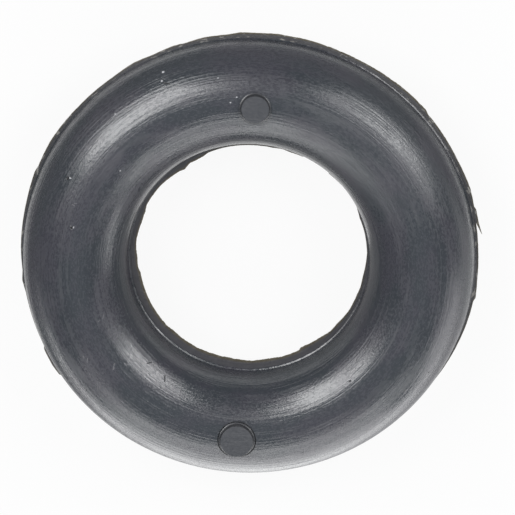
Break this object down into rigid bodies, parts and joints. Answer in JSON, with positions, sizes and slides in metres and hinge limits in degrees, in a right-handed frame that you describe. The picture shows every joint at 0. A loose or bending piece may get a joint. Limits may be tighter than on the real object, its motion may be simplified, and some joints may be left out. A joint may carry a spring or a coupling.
{
  "type": "exhaust hanger",
  "caption": "Round-section moulded rubber ring that hangs an exhaust pipe between rods, with round pads on its face and torn flash left along the parting line.",
  "frame": {"origin": "centre of the ring, on its axis and on the mould's parting plane, halfway between the two crests", "axes": "+Z along the ring's axis, out of the face with the pads; +Y from the centre towards the upper rod seat, 3 degrees from the line through the pads; +X to the right, seen from +Z"},
  "size_m": [0.0613, 0.0609, 0.0155],
  "materials": {
    "black_rubber": "semi-gloss, as it leaves the mould, with fine turning marks from the mould, small pits and specks"
  },
  "bodies": {
    "root": {"hanger_ring": "black_rubber"}
  },
  "joints": []
}
